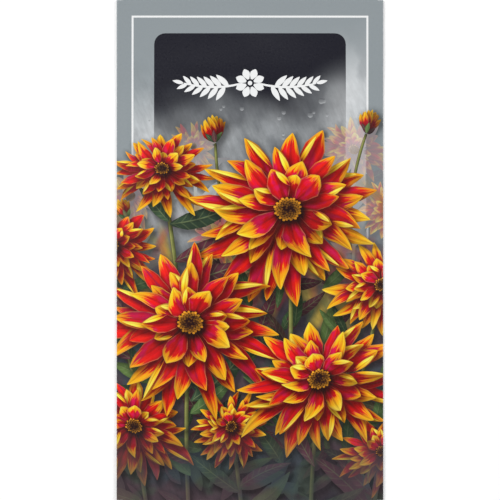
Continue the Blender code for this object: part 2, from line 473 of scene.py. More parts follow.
def leafy_stem(foot, top, width, leaves, length, haze=0.0):
    """A stem, and leaves of about a length that spring from it at both sides."""
    stem(foot, top, width, haze)
    for number in range(leaves):
        share = art.uniform(0.1, 0.7)
        root = (foot[0] + (top[0] - foot[0]) * share, foot[1] + (top[1] - foot[1]) * share)
        heading = math.pi / 2 + art.choice((-1, 1)) * art.uniform(0.4, 1.3)
        leaf(root, heading, length * art.uniform(0.7, 1.3), art.uniform(0.2, 0.3), haze=haze)


# The blooms
# Spiky blooms in three rings of long petals, crimson to scarlet with yellow tips, the longest ring
# lowest, round a domed middle of small florets.

# A ring is its share of the bloom's radius, its petals, and how much sooner they turn yellow
PETAL_RINGS = ((1.0, 19, 0.0), (0.76, 16, -0.03), (0.50, 12, -0.12))
PETAL_WIDTH = 0.21
DROOP = 0.10
TURNED_EDGES = 0.35
MIDDLE = 0.14
DISC_DARK = linear("#33090c")
DISC_RIM = linear("#f0a024")


def aslant(centre, x, y, squash, turn):
    """A point of a bloom seen aslant: it is narrowed to squash along the direction turn."""
    cos, sin = math.cos(turn), math.sin(turn)
    along, aside = (x * cos + y * sin) * squash, y * cos - x * sin
    return centre[0] + along * cos - aside * sin, centre[1] + along * sin + aside * cos


def petal(root, tip, width, light, flame, haze=0.0):
    """A petal, and on some of them a side that turns over and shows its paler back."""
    bend, curl, widest = art.gauss(0, 0.13), art.gauss(0, 0.11), art.uniform(1.05, 1.5)
    blade = make_blade(root, tip, width, bend, curl, widest, fullness=0.8, ripple=0.06)
    own = art.random()
    print_blade("petal", blade, light, flame, haze=haze, own=own)
    if art.random() < TURNED_EDGES:
        side = art.choice((-1, 1))
        start = on_print(blade, art.uniform(0.3, 0.5), side)
        end = on_print(blade, art.uniform(0.88, 0.97), side * 0.6)
        lip = make_blade(start, end, width * art.uniform(0.22, 0.36), -side * 0.08,
                         widest=1.1, fullness=0.8)
        print_blade("petal", lip, light * 1.1, flame * 0.35, casts=0.5, haze=haze, own=own)


def disc(centre, radius, squash, turn, haze):
    """The domed middle: florets in a spiral, which are lit on the side of the sun. Haze warms it."""
    rim = [aslant(centre, *point, squash, turn) for point in circle(0, 0, radius, 20)]
    dark = mix(DISC_DARK, DISC_RIM, np.array(0.7 * haze))
    print_shape("flat", rim, dark, light=0.8 + 0.2 * haze, casts=0.9 * (1 - haze), haze=haze)
    count = int(20 + radius * 15)
    for number in range(count):
        out = math.sqrt((number + 0.5) / count)
        x, y = beyond((0, 0), number * math.pi * (3 - math.sqrt(5)), radius * 0.95 * out)
        floret = circle(x, y, radius * (0.08 + 0.03 * out), 6)
        tone = mix(dark, DISC_RIM, np.array(out**3 + art.uniform(-0.15, 0.25)))
        light = 0.9 + 0.3 * SUN.dot(Vector((x, y)) / radius) + art.uniform(-0.1, 0.1)
        print_shape("flat", [aslant(centre, *point, squash, turn) for point in floret], tone,
                    light=light, casts=0.35 * (1 - haze), haze=haze)


def bloom(centre, radius, squash, turn, flame, haze=0.0):
    """A bloom, ring on ring. A ring's petals come in a mixed order, so that any may be on top."""
    for share, count, sooner in PETAL_RINGS:
        start = art.uniform(0, math.tau)
        order = list(range(count))
        art.shuffle(order)
        for number in order:
            angle = start + math.tau * (number + art.uniform(-0.3, 0.3)) / count
            reach = radius * share * art.uniform(0.82, 1.12)
            root = aslant(centre, *beyond((0, 0), angle, radius * MIDDLE * 0.5), squash, turn)
            tip = aslant(centre, *beyond((0, 0), angle, reach), squash, turn)
            tip = (tip[0], tip[1] - DROOP * reach)
            narrow = 1 - abs(math.sin(angle - turn)) * (1 - squash)
            width = radius * PETAL_WIDTH * art.uniform(0.8, 1.2) * narrow
            light = 1.14 + 0.16 * towards_sun(root, tip) + art.uniform(-0.14, 0.1)
            petal(root, tip, width, light, flame + sooner + art.gauss(0, 0.09), haze)
    disc(centre, radius * MIDDLE, squash, turn, haze)


def bud(foot, top, length):
    """A bud that is opening: narrow petals that stand together, held by green sepals."""
    stem(foot, top, width=1.0)
    heading = math.atan2(top[1] - foot[1], top[0] - foot[0])
    for spread, count in ((0.55, 7), (0.3, 5)):
        for number in range(count):
            lean = spread * (2 * number / (count - 1) - 1)
            root = beyond(top, heading + lean, 0.04 * length)
            tip = beyond(top, heading + lean, length * (1 - 0.3 * abs(lean)))
            light = 1.1 - 0.2 * abs(lean)
            petal(root, tip, 0.24 * length, light, flame=art.uniform(0.6, 0.8))
    for lean in (-0.7, 0.7, 0.0):
        root = beyond(top, heading + lean, 0.02 * length)
        leaf(root, heading + lean, 0.45 * length, slimness=0.4, light=0.8)


# The planting
# The picture is laid down from the far plants to the near ones: blooms in haze, a dark understory,
# then lit stems, leaves and buds, and the large blooms over them.

# A bloom is its centre, radius, squash and turn, where it turns yellow, and its haze
HAZY_BLOOMS = (
    ((-18, 33), 9, 0.85, 0.4, 0.80, 0.72),
    ((33, 32), 13, 0.85, 1.2, 0.85, 0.66),
    ((-38, 17), 12, 0.80, 2.2, 0.75, 0.58),
    ((44, 13), 12, 0.85, 0.9, 0.80, 0.55),
    ((-9, 4), 10, 0.80, 1.5, 0.80, 0.5),
)
BLOOMS = (
    ((-28, 26), 17, 0.80, 1.4, 0.86),
    ((42, -11), 18, 0.85, 2.0, 0.80),
    ((-44, 2), 17, 0.80, 1.0, 0.88),
    ((12, 13), 32, 0.86, 1.7, 0.90),
    ((-6, -56), 14, 0.84, 2.4, 0.84),
    ((-37, -56), 20, 0.82, 1.2, 0.84),
    ((42, -64), 15, 0.80, 1.9, 0.86),
    ((-19, -23), 30, 0.88, 1.4, 0.92),
    ((22, -41), 27, 0.84, 1.8, 0.86),
)
# A bud is the foot and top of its stem, and its length
BUDS = (((-9, 16), (-11, 34), 9.0), ((33, 22), (37, 37), 8.0), ((-36, 4), (-39, 10), 7.0))
UNDERSTORY_LEAVES = 150
for centre, radius, squash, turn, flame, haze in HAZY_BLOOMS:
    stem_foot = (centre[0] + art.uniform(-3, 3), centre[1] - 3 * radius)
    leafy_stem(stem_foot, centre, width=1.1, leaves=7, length=11, haze=haze)
for hazy_bloom in HAZY_BLOOMS:
    bloom(*hazy_bloom)
for number in range(UNDERSTORY_LEAVES):
    root = (art.uniform(-42, 42), art.uniform(-84, -10))
    heading, length, slimness = art.uniform(0.0, math.pi), art.uniform(7, 16), art.uniform(0.2, 0.34)
    leaf(root, heading, length, slimness, light=art.uniform(0.35, 0.75), casts=0.5)
for centre, radius, squash, turn, flame in BLOOMS:
    stem_foot = (centre[0] * 0.8 + art.uniform(-4, 4), centre[1] - radius * 2.4)
    leafy_stem(stem_foot, centre, width=1.4, leaves=4, length=20)
for foot, top, length in BUDS:
    bud(foot, top, length)
for lit_bloom in BLOOMS:
    bloom(*lit_bloom)


# The back panel, tab and flaps
# Beyond the folds the print is plain. The back is grey, with a dark band and a white field, which
# holds four signs, a year's boxes, a plant's growth and lines to write on. The glue tab is bare.
front_shapes = len(printed)
BACK_MIDDLE = (BACK_START + BACK_EDGE) / 2
FIELD_HALF = 36.0
FIELD_CORNER = 3.5
BAND_FOOT, BAND_TOP = 40.0, 56.0
FIELD_FOOT, FIELD_TOP = -60.0, 36.0
ROW_HALF = 31.5
LEAF_GREEN = linear("#4f7d45")
CRIMSON = linear("#b0121f")
SOIL = linear("#5a4436")
BOX_GREY = linear("#d3d7d8")
LINE_GREY = linear("#a4aaad")


def back_shape(outline, tone):
    """Prints a shape on the back panel, from its place right and up of that panel's middle."""
    print_shape("flat", [(BACK_MIDDLE + x, y) for x, y in outline], tone)


def back_blade(root, tip, width, tone, bend=0.0):
    """A blade on the back panel."""
    back_shape(blade_outline(make_blade(root, tip, width, bend, fullness=0.8), 7), tone)


def back_star(centre, near, reach, width, tone, count):
    """Blades that stand out round a centre."""
    for number in range(count):
        heading = math.tau * number / count
        back_blade(beyond(centre, heading, near), beyond(centre, heading, reach), width, tone)


back_print = FRONT_X + SIDE_ARC * 0.6
flap_print = FRONT_Y + END_ARC * 0.8
print_shape("flat", rectangle(back_print, -FRONT_Y, BACK_EDGE, FRONT_Y), MARGIN_GREY)
print_shape("bare", rectangle(TAB_EDGE, -FRONT_Y, -BACK_START, FRONT_Y))
print_shape("flat", rectangle(-FLAP_ROOT_X, flap_print, FLAP_ROOT_X, TOP_EDGE), MARGIN_GREY)
print_shape("flat", rectangle(-FLAP_ROOT_X, BOTTOM_EDGE, FLAP_ROOT_X, -flap_print), GROUND_DARK)
back_shape(rectangle(-FIELD_HALF, BAND_FOOT, FIELD_HALF, BAND_TOP, FIELD_CORNER), SLATE)
sprig(BACK_MIDDLE, (BAND_FOOT + BAND_TOP) / 2, 20.0, RULE_WHITE, SLATE)
back_shape(rectangle(-FIELD_HALF, FIELD_FOOT, FIELD_HALF, FIELD_TOP, FIELD_CORNER), RULE_WHITE)

# Four white signs on dark discs: the sun, a drop, a leaf and how far apart the plants stand
SIGN_Y = 26.0
SIGN_RADIUS = 5.6
SUN_X, DROP_X, LEAF_X, APART_X = -24.0, -8.0, 8.0, 24.0
for x in (SUN_X, DROP_X, LEAF_X, APART_X):
    back_shape(circle(x, SIGN_Y, SIGN_RADIUS, 28), SLATE)
back_shape(circle(SUN_X, SIGN_Y, 1.7, 16), RULE_WHITE)
back_star((SUN_X, SIGN_Y), near=2.3, reach=4.3, width=0.7, tone=RULE_WHITE, count=8)
back_shape(circle(DROP_X, SIGN_Y - 1, 1.9, 16), RULE_WHITE)
drop_tip = ((-1.75, -0.2), (1.75, -0.2), (0, 4))
back_shape([(DROP_X + side, SIGN_Y + up) for side, up in drop_tip], RULE_WHITE)
back_blade((LEAF_X - 2.8, SIGN_Y - 2.8), (LEAF_X + 3, SIGN_Y + 3), 3.4, RULE_WHITE, 0.15)
back_blade((LEAF_X - 3, SIGN_Y - 3), (LEAF_X + 1.6, SIGN_Y + 1.2), 0.5, SLATE, 0.12)
back_shape(rectangle(APART_X - 3.6, SIGN_Y - 0.4, APART_X + 3.6, SIGN_Y + 0.4), RULE_WHITE)
for side in (-1, 1):
    arrow = ((4, 0), (2.2, side * 1.4), (2.2, side * -1.4))
    back_shape([(APART_X + side * out, SIGN_Y + up) for out, up in arrow], RULE_WHITE)

# A box for each month of the year, green where the seed is sown and crimson where the plant blooms
BOX = 4.7
BOX_PITCH = 5.3
BOX_CORNER = 0.8
BOX_ROWS = ((10.0, LEAF_GREEN, 3, 5), (4.0, CRIMSON, 6, 9))
for y, tint, first, last in BOX_ROWS:
    for month in range(12):
        left = -ROW_HALF + BOX_PITCH * month
        box = rectangle(left, y, left + BOX, y + BOX, BOX_CORNER, steps=3)
        back_shape(box, tint if first <= month <= last else BOX_GREY)

# The plant at four ages, over a bar of soil
SOIL_TOP = -25.0
SOIL_DEPTH = 8.0
SEED_DEPTH = 3.0
STALK_LEAN = 0.3
PLANTS = ((-24.0, 0.0), (-9.0, 5.0), (8.0, 11.0), (24.0, 17.0))
back_shape(rectangle(-ROW_HALF, SOIL_TOP - SOIL_DEPTH, ROW_HALF, SOIL_TOP, 1.0), SOIL)
for pairs, (x, height) in enumerate(PLANTS):
    back_shape(circle(x, SOIL_TOP - SEED_DEPTH, 0.9, 10), DISC_RIM)
    if pairs:
        stalk_top = (x + STALK_LEAN, SOIL_TOP + height)
        back_blade((x, SOIL_TOP - SEED_DEPTH), stalk_top, 0.9, LEAF_GREEN)
    for pair in range(pairs):
        root, length = (x, SOIL_TOP + height * (pair + 1) / pairs), 3.0 + 0.8 * pairs
        for heading in (0.6, math.pi - 0.6):
            back_blade(root, beyond(root, heading, length), 0.34 * length, LEAF_GREEN, 0.1)
grown = (PLANTS[-1][0] + STALK_LEAN, SOIL_TOP + PLANTS[-1][1] + 1)
back_star(grown, near=0.6, reach=4.2, width=1.6, tone=CRIMSON, count=11)
back_shape(circle(*grown, 1.1), DISC_RIM)
LINE_WIDTH = 0.3
for y in (-40, -46, -52):
    back_shape(rectangle(-ROW_HALF, y, ROW_HALF, y + LINE_WIDTH), LINE_GREY)


# Cutting the sheet
# The printed sheet is cut to the blank's outline. Its mesh is split along the outline of every
# printed shape, along the folds, and at a fine grid between, so that each triangle has one ink and
# the sheet bends smoothly.
FRONT_GRID = 1.15
INNER_GRID = 1.7
BACK_GRID = 3.0
LONGEST_SIDE = 2.0
MERGE = 0.004
UNEVEN = 0.1
FOLD_ROWS = 8
SHADOW_SOFT = 2.2
SHADOW_FALL = 1.5
SHADOW_SHIFT = (0.7, -1.0)
SHEET_PANELS = (
    (-FRONT_X, -FRONT_Y, FRONT_X, FRONT_Y),
    (TAB_EDGE, -FRONT_Y, -BACK_START, FRONT_Y),
    (BACK_START, -FRONT_Y, BACK_EDGE, FRONT_Y),
    (-FLAP_ROOT_X, BOTTOM_EDGE, FLAP_ROOT_X, -FRONT_Y - END_ARC),
    (-FLAP_ROOT_X, FRONT_Y + END_ARC, FLAP_ROOT_X, TOP_EDGE),
)


def grid(left, bottom, right, top, pitch):
    """Staggered points inside a rectangle, a little uneven so that no row shows."""
    draw = random.Random(9)
    rows, columns = int((top - bottom) / pitch), int((right - left) / pitch)
    for row in range(1, rows):
        for column in range(1, columns):
            u = left + (right - left) * (column + 0.5 * (row % 2) - 0.25) / columns
            v = bottom + (top - bottom) * row / rows
            off_u, off_v = draw.uniform(-UNEVEN, UNEVEN), draw.uniform(-UNEVEN, UNEVEN)
            yield Vector((u + off_u * pitch, v + off_v * pitch))


def fold_lines():
    """Lines along every fold, from where it starts to bend to where it is straight again."""
    for row in range(FOLD_ROWS + 1):
        side, end = FRONT_X + SIDE_ARC * row / FOLD_ROWS, FRONT_Y + END_ARC * row / FOLD_ROWS
        for sign in (-1, 1):
            yield [(sign * side, -FRONT_Y), (sign * side, FRONT_Y)]
            yield [(-FLAP_ROOT_X, sign * end), (FLAP_ROOT_X, sign * end)]


def inside(places, outline):
    """Which places lie inside an outline."""
    ring = np.array(outline)
    after = np.roll(ring, -1, axis=0)
    side = after - ring
    rise = np.where(side[:, 1] == 0, 1e-9, side[:, 1])
    right, up = places[:, :1], places[:, 1:]
    crossed = (ring[:, 1] > up) != (after[:, 1] > up)
    crossed &= right < ring[:, 0] + side[:, 0] * (up - ring[:, 1]) / rise
    return crossed.sum(1) % 2 == 1


def box_finder(places):
    """A quick way to find the places in a box, for places that it puts in order of x."""
    order = np.argsort(places[:, 0])
    across = places[order, 0]

    def find(lowest, highest):
        start, end = np.searchsorted(across, (lowest[0], highest[0]))
        strip = order[start:end]
        return strip[(places[strip, 1] > lowest[1]) & (places[strip, 1] < highest[1])]
    return find


def cut_blank(paths, front_grid):
    """The blank's points and triangles, when it is split along the fold lines and some more paths."""
    points, edges = [], []
    for path in [*paths, *fold_lines()]:
        for start, end in zip(path, path[1:]):
            steps = max(1, round(math.dist(start, end) / LONGEST_SIDE))
            first = len(points)
            points.extend(Vector(start).lerp(Vector(end), step / steps) for step in range(steps + 1))
            edges.extend((first + step, first + step + 1) for step in range(steps))
    pitches = [front_grid] + [BACK_GRID] * (len(SHEET_PANELS) - 1)
    for panel, pitch in zip(SHEET_PANELS, pitches):
        points.extend(grid(*panel, pitch))
    result = delaunay_2d_cdt(points, edges, [], 0, MERGE, False)
    places, triangles = np.array([tuple(place) for place in result[0]]), np.array(result[2])
    kept = triangles[inside(places[triangles].mean(1), blank)]
    used, kept = np.unique(kept, return_inverse=True)
    return places[used], kept.reshape(-1, 3)


def distance_outside(places, outline):
    """How far each place lies outside an outline, and 0 within it."""
    side = np.roll(outline, -1, axis=0) - outline
    offset = places[:, None, :] - outline[None]
    share = np.clip((offset * side).sum(-1) / np.maximum((side**2).sum(-1), 1e-9), 0, 1)
    nearest = np.linalg.norm(offset - share[..., None] * side, axis=-1).min(1)
    return np.where(inside(places, outline), 0.0, nearest)


def shadows(places, shape_there):
    """How dark places lie in the printed shadows of the shapes above theirs, from 0 to 1."""
    shade = np.zeros(len(places))
    find = box_finder(places)
    for number, shape in enumerate(printed):
        if not shape.casts:
            continue
        thrown = np.array(shape.outline) + SHADOW_SHIFT
        near = find(thrown.min(0) - SHADOW_SOFT, thrown.max(0) + SHADOW_SOFT)
        near = near[shape_there[near] < number]
        if len(near):
            fall = 1.0 - distance_outside(places[near], thrown) / SHADOW_SOFT
            shade[near] = np.maximum(shade[near], shape.casts * np.clip(fall, 0, 1) ** SHADOW_FALL)
    return shade


places, triangles = cut_blank([shape.outline + shape.outline[:1] for shape in printed], FRONT_GRID)
centres = places[triangles].mean(1)
find_centres = box_finder(centres)
top = np.zeros(len(triangles), dtype=int)
for number, shape in enumerate(printed):
    ring = np.array(shape.outline)
    near = find_centres(ring.min(0), ring.max(0))
    top[near[inside(centres[near], ring)]] = number
spots, spot_shape = places[triangles.reshape(-1)], np.repeat(top, 3)
ink_colour, ink_numbers = np.ones((len(spots), 4)), np.ones((len(spots), 4))
blade_place = np.zeros((len(spots), 2))
for number in np.unique(top):
    shape = printed[number]
    mine = np.flatnonzero(spot_shape == number)
    x, y = spots[mine].T
    ink_numbers[mine, :3] = shape.light, shape.own, shape.flame
    if shape.colour is not None:
        ink_colour[mine, :3] = tone_at(shape.colour, x, y)
    if shape.blade:
        blade_place[mine] = np.stack(on_blade(shape.blade, x, y), -1)
ink_numbers[:, 0] *= 1.0 - shadows(spots, spot_shape)

# What is in haze gives way to what is printed behind it. So does all of the front towards its foot,
# where the print also darkens, leaves and petals the most.
FOOT_TOP = -52.0
FOOT_FADE = 24.0
FOOT_VEIL = 0.72
FOOT_DARKENS = 0.15
FOOT_DARKENS_BLADES = 0.35
is_blade, haze = np.array([(shape.blade is not None, shape.haze) for shape in printed])[spot_shape].T
foot = FOOT_VEIL * ease((FOOT_TOP - spots[:, 1]) / FOOT_FADE) * (spot_shape < front_shapes)
veil = 1.0 - (1.0 - haze) * (1.0 - foot)
veiled = np.flatnonzero(veil)
behind_it = planted(backdrop)(*spots[veiled].T)
share = np.maximum(is_blade, veil)[veiled]
ink_colour[veiled, :3] = mix(ink_colour[veiled, :3], behind_it, share)
ink_numbers[:, 3] = 1.0 - veil
ink_numbers[:, 0] *= 1.0 - (FOOT_DARKENS + FOOT_DARKENS_BLADES * is_blade) * foot


# The folded sheet
# The blank is folded round and glued to its tab, and its ends are folded under and glued. Its mesh
# is the printed face and, a paper's thickness behind it, the bare white inner face, which has larger
# triangles. Their cut edges are joined all the way round.
def facing(u, v, reach=0.01):
    """Which way the folded sheet's outer side faces."""
    across = folded(u + reach, v) - folded(u - reach, v)
    along = folded(u, v + reach) - folded(u, v - reach)
    normal = np.cross(across, along)
    return normal / np.linalg.norm(normal, axis=-1, keepdims=True)


def add_object(name, data):
    """An object in the scene."""
    made = bpy.data.objects.new(name, data)
    bpy.context.scene.collection.objects.link(made)
    return made


def add_mesh(name, points, faces):
    """A smooth mesh in the scene, from points in mm."""
    data = bpy.data.meshes.new(name)
    data.from_pydata((points * MM).tolist(), [], faces)
    data.shade_smooth()
    return add_object(name, data)


edges = np.concatenate((triangles[:, [0, 1]], triangles[:, [1, 2]], triangles[:, [2, 0]]))
_, first, times = np.unique(np.sort(edges, axis=1), axis=0, return_index=True, return_counts=True)
cut_edge = edges[first[times == 1]]
inner_places, inner_triangles = cut_blank([places[edge].tolist() for edge in cut_edge], INNER_GRID)
inner_tree = KDTree(len(inner_places))
for number, place in enumerate(inner_places):
    inner_tree.insert((*place, 0.0), number)
inner_tree.balance()
behind = {}
for point in set(cut_edge.ravel().tolist()):
    behind[point] = len(places) + inner_tree.find((*places[point], 0.0))[1]
sheet_places = np.concatenate((places, inner_places))
sheet_normals = facing(*sheet_places.T)
sheet_normals[len(places) :] *= -1.0
points = folded(*sheet_places.T) + sheet_normals * PAPER / 2
faces = triangles.tolist() + (inner_triangles[:, ::-1] + len(places)).tolist()
faces += [[end, start, behind[start], behind[end]] for start, end in cut_edge.tolist()]
packet = add_mesh("packet_sheet", points, faces)
mesh = packet.data

# The faces bend as the sheet does, and its cut edges are flat
corner_point = np.zeros(len(mesh.loops), dtype=np.int32)
mesh.loops.foreach_get("vertex_index", corner_point)
corner_normals = sheet_normals[corner_point]
edge_normals = [tuple(face.normal) for face in mesh.polygons[-len(cut_edge) :]]
corner_normals[-4 * len(cut_edge) :] = np.repeat(edge_normals, 4, axis=0)
mesh.normals_split_custom_set(corner_normals.tolist())
for name, values in (("blank", sheet_places[corner_point]), ("blade", blade_place)):
    filled = np.zeros((len(corner_point), 2), dtype=np.float32)
    filled[: len(values)] = values
    mesh.uv_layers.new(name=name).uv.foreach_set("vector", filled.ravel())
for name, values in (("ink_colour", ink_colour), ("ink_numbers", ink_numbers)):
    filled = np.ones((len(corner_point), 4), dtype=np.float32)
    filled[: len(values)] = values
    layer = mesh.color_attributes.new(name=name, type="FLOAT_COLOR", domain="CORNER")
    layer.data.foreach_set("color", filled.ravel())


# The inks on coated paper
# Gloss-coated paper is wood fibre under a smooth clay coat, so it gives a soft, slightly uneven
# sheen. Offset ink lies in it with a faint mottle, and is worn to white in specks along the folds.
# A fibre is 0.03 mm wide. It is drawn 0.6 mm wide, which is as coarse as it needs to be to show.
FIBRE = 0.6
MOTTLE = 0.8
WORN_SPECK = 0.4
WORN_REACH = 0.35
COATED_IOR = 1.5
PAPER_WHITE = linear("#efeee9")
Spot = namedtuple("Spot", "place blade colour light own flame clear along across")


def add_node(tree, kind, feeds, stops=(), **settings):
    """Adds a node. feeds gives its inputs by name or number: a value, a socket, or a node, whose
    first output is taken."""
    made = tree.nodes.new("ShaderNode" + kind)
    for name, value in settings.items():
        setattr(made, name, value)
    usable = [socket for socket in made.inputs if socket.enabled]
    for name, value in feeds.items():
        socket = usable[name] if isinstance(name, int) else next(s for s in usable if s.name == name)
        if isinstance(value, bpy.types.Node):
            value = next(output for output in value.outputs if output.enabled)
        if isinstance(value, bpy.types.NodeSocket):
            tree.links.new(value, socket)
        else:
            socket.default_value = (*value, 1.0) if socket.type == "RGBA" else value
    for number, (position, tone) in enumerate(stops):
        if number >= len(made.color_ramp.elements):
            made.color_ramp.elements.new(position)
        made.color_ramp.elements[number].position = position
        made.color_ramp.elements[number].color = (*np.broadcast_to(tone, 3), 1.0)
    return made


def start_material(name):
    """A material with no nodes yet, and the function that adds them to it."""
    material = bpy.data.materials.new(name)
    material.use_nodes = True
    material.node_tree.nodes.clear()
    return material, partial(add_node, material.node_tree)


def what_is_printed(node):
    """Where each spot of the sheet lies on the blank, and what is printed there."""
    place, blade = node("UVMap", {}, uv_map="blank"), node("UVMap", {}, uv_map="blade")
    colour = node("VertexColor", {}, layer_name="ink_colour")
    numbers = node("VertexColor", {}, layer_name="ink_numbers")
    light, own, flame = node("SeparateColor", {0: numbers}).outputs[:3]
    along, across = node("SeparateXYZ", {0: blade}).outputs[:2]
    return Spot(place, blade, colour, light, own, flame, numbers.outputs["Alpha"], along, across)


def coated_paper(name, paint):
    """The sheet's finish under one ink: worn specks along the folds, and the fibre's sheen."""
    material, node = start_material(name)
    spot = what_is_printed(node)
    parts = node("SeparateXYZ", {0: spot.place})
    worn = []
    for axis, fold in ((0, FRONT_X + SIDE_ARC / 2), (1, FRONT_Y + END_ARC / 2)):
        off = node("Math", {0: parts.outputs[axis]}, operation="ABSOLUTE")
        off = node("Math", {0: off, 1: fold}, operation="SUBTRACT")
        off = node("Math", {0: off}, operation="ABSOLUTE")
        worn.append(node("MapRange", {0: off, "From Max": WORN_REACH, "To Min": 1.0, "To Max": 0.0}))
    worn = node("Math", {0: worn[0], 1: worn[1]}, operation="MAXIMUM")
    speck = node("TexNoise", {"Vector": spot.place, "Scale": 1 / WORN_SPECK, "Detail": 4.0})
    speck = node("MapRange", {0: speck, "From Min": 0.56, "From Max": 0.68})
    worn = node("Math", {0: worn, 1: speck}, operation="MULTIPLY")
    colour = node("Mix", {0: worn, "A": paint(node, spot), "B": PAPER_WHITE}, data_type="RGBA")
    fibre = node("TexNoise", {"Vector": spot.place, "Scale": 1 / FIBRE, "Detail": 3.0})
    rough = node("MapRange", {0: fibre, "From Min": 0.3, "From Max": 0.7,
                              "To Min": 0.27, "To Max": 0.36})
    bump = node("Bump", {"Strength": 0.06, "Distance": 0.0003, "Filter Width": 0.1, "Height": fibre})
    finish = {"Base Color": colour, "Roughness": rough, "Normal": bump, "IOR": COATED_IOR}
    node("OutputMaterial", {0: node("BsdfPrincipled", finish)})
    mesh.materials.append(material)


def lit(node, spot, colour, level):
    """A colour, darkened by a level and by the light printed there."""
    level = node("Math", {0: level, 1: spot.light}, operation="MULTIPLY")
    return node("Mix", {0: 1.0, "A": colour, "B": level}, data_type="RGBA", blend_type="MULTIPLY",
                clamp_result=True)


def in_haze(node, spot, colour):
    """A colour that gives way to the mist behind it, by the haze printed there."""
    return node("Mix", {0: spot.clear, "A": spot.colour, "B": colour}, data_type="RGBA")


def side_to_side(node, spot, stops):
    """Tones from one edge of a blade to the other."""
    side = node("Math", {0: spot.across, 1: 0.5, 2: 0.5}, operation="MULTIPLY_ADD")
    return node("ValToRGB", {0: side}, stops=stops)


def bare_paper(node, spot):
    """Clay-coated paper without ink: a warm white, faintly cloudy."""
    cloud = node("TexNoise", {"Vector": spot.place, "Scale": 1 / MOTTLE, "Detail": 4.0})
    return node("Mix", {0: cloud, "A": linear("#e9e8e3"), "B": linear("#f6f5f1")}, data_type="RGBA")


def flat_ink(node, spot):
    """Ink laid down evenly, with the faint mottle of offset print."""
    mottle = node("TexNoise", {"Vector": spot.place, "Scale": 1 / MOTTLE, "Detail": 4.0})
    level = node("MapRange", {0: mottle, "From Min": 0.2, "From Max": 0.8,
                              "To Min": 0.97, "To Max": 1.03})
    return lit(node, spot, spot.colour, level)


BLUR_PATCH = 7.0
BLUR_STROKE = (1.2, 5.0, 1.0)
BLUR_LEAN = 0.4


def picture_ink(node, spot):
    """The blurred ground of a picture, which is even only above the mist: soft patches, and in them
    longer strokes that lean."""
    cloud = node("TexNoise", {"Vector": spot.place, "Scale": 1 / BLUR_PATCH, "Detail": 7.0,
                              "Roughness": 0.6})
    level = node("MapRange", {0: cloud, "From Min": 0.25, "From Max": 0.75,
                              "To Min": 0.8, "To Max": 1.2})
    strokes = node("Mapping", {"Vector": spot.place, "Rotation": (0, 0, BLUR_LEAN),
                               "Scale": BLUR_STROKE}, vector_type="TEXTURE")
    strokes = node("TexNoise", {"Vector": strokes, "Scale": 1.0, "Detail": 3.0, "Roughness": 0.6})
    strokes = node("MapRange", {0: strokes, "From Min": 0.3, "From Max": 0.7,
                                "To Min": 0.88, "To Max": 1.12})
    level = node("Math", {0: level, 1: strokes}, operation="MULTIPLY")
    up = node("SeparateXYZ", {0: spot.place}).outputs["Y"]
    blurred = node("MapRange", {0: up, "From Min": MIST_TOP, "From Max": MIST_FOOT})
    level = node("Mix", {0: blurred, "A": 1.0, "B": level})
    return lit(node, spot, spot.colour, level)


PETAL_LENGTH = 24.0
PETAL_HALF_WIDTH = 3.0
STREAKS_APART = 60.0
SHADE_DEPTH = 1.5
# How far streaks and the edges carry the yellow down a petal, and how late it starts
TIP_RAGS = 0.75
TIP_EDGES = 0.16
TIP_DELAY = 0.33


def streaks(node, spot, length, width, detail):
    """Noise in streaks of this size in mm along a petal of usual size. No two have the same."""
    scale = (PETAL_LENGTH / length, PETAL_HALF_WIDTH / width, 1.0)
    stretched = node("Mapping", {"Vector": spot.blade, "Scale": scale})
    own = node("Math", {0: spot.own, 1: STREAKS_APART}, operation="MULTIPLY")
    feeds = {"Vector": stretched, "W": own, "Scale": 1.0, "Detail": detail, "Roughness": 0.6}
    return node("TexNoise", feeds, noise_dimensions="4D")


